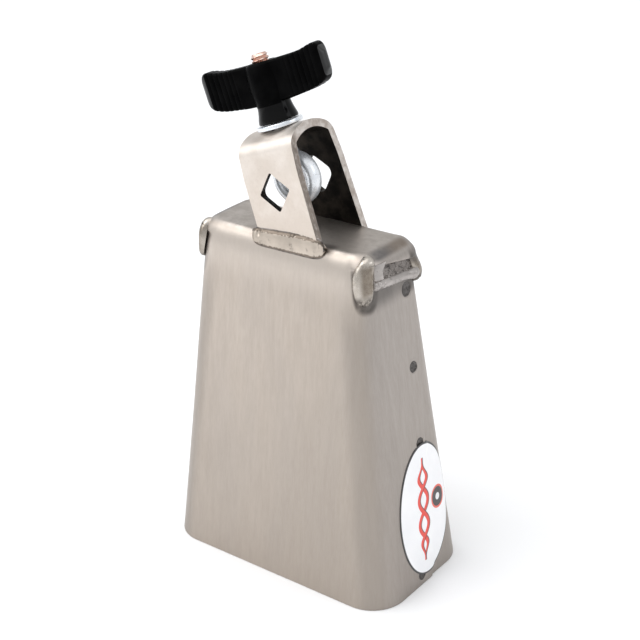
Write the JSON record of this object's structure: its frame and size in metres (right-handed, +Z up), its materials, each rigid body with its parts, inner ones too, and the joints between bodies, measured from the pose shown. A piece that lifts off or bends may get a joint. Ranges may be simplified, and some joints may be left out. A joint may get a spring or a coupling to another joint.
{
  "type": "cowbell",
  "caption": "Mountable steel cowbell: folded tapered bell with lapped sides, tilted strap bracket with diamond rod holes, eye bolt and black wing knob.",
  "frame": {"origin": "centre of the bell's mouth rim plane", "axes": "+Z up along the bell from mouth to crown, X along the wide faces with the label on the +X side, -Y out of the front face"},
  "size_m": [0.1029, 0.0568, 0.1965],
  "materials": {
    "bell_steel": "warm grey vertical brushed steel under thin clear lacquer",
    "strap_steel": "pale satin steel strap with heat tint beside the welds",
    "weld_metal": "rippled and ground weld metal",
    "spot_weld_metal": "dark burnt spot weld",
    "zinc_plate": "bright bluish zinc plate",
    "black_plastic": "fine-textured moulded black plastic",
    "insert_brass": "turned brass",
    "label_vinyl": "white vinyl with a dark rim and a plain red wave ornament"
  },
  "bodies": {
    "bell": {"bell_shell": "bell_steel", "corner_tab_front_right": "weld_metal", "corner_tab_front_left": "weld_metal", "corner_tab_rear_right": "weld_metal", "corner_tab_rear_left": "weld_metal", "end_weld_right": "weld_metal", "end_weld_left": "weld_metal", "spot_weld_right_1": "spot_weld_metal", "spot_weld_right_2": "spot_weld_metal", "spot_weld_right_3": "spot_weld_metal", "spot_weld_right_4": "spot_weld_metal", "spot_weld_right_5": "spot_weld_metal", "spot_weld_left_1": "spot_weld_metal", "spot_weld_left_2": "spot_weld_metal", "spot_weld_left_3": "spot_weld_metal", "spot_weld_left_4": "spot_weld_metal", "spot_weld_left_5": "spot_weld_metal", "mounting_bracket": "strap_steel", "bracket_weld_front": "weld_metal", "bracket_weld_rear": "weld_metal", "side_label": "label_vinyl"},
    "eye_bolt": {"eye_bolt": "zinc_plate"},
    "washer": {"flat_washer": "zinc_plate"},
    "knob": {"wing_knob": "black_plastic", "threaded_insert": "insert_brass"}
  },
  "joints": [
    {"name": "knob_turn", "type": "hinge", "parent": "bell", "child": "knob", "pos_m": [0.0041, 0, 0.13], "axis": [-0.3299, 0, 0.944], "range_deg": [-1440, 1800]},
    {"name": "eyebolt_slide", "type": "slide", "parent": "bell", "child": "eye_bolt", "axis": [-0.3299, 0, 0.944], "range_m": [-0.0064, 0.0052]},
    {"name": "washer_spin", "type": "hinge", "parent": "bell", "child": "washer", "pos_m": [0.0041, 0, 0.13], "axis": [-0.3299, 0, 0.944], "continuous": true}
  ],
  "couplings": [
    {"joint": "eyebolt_slide", "follows": "knob_turn", "m_per_rad": -0.00020213}
  ]
}
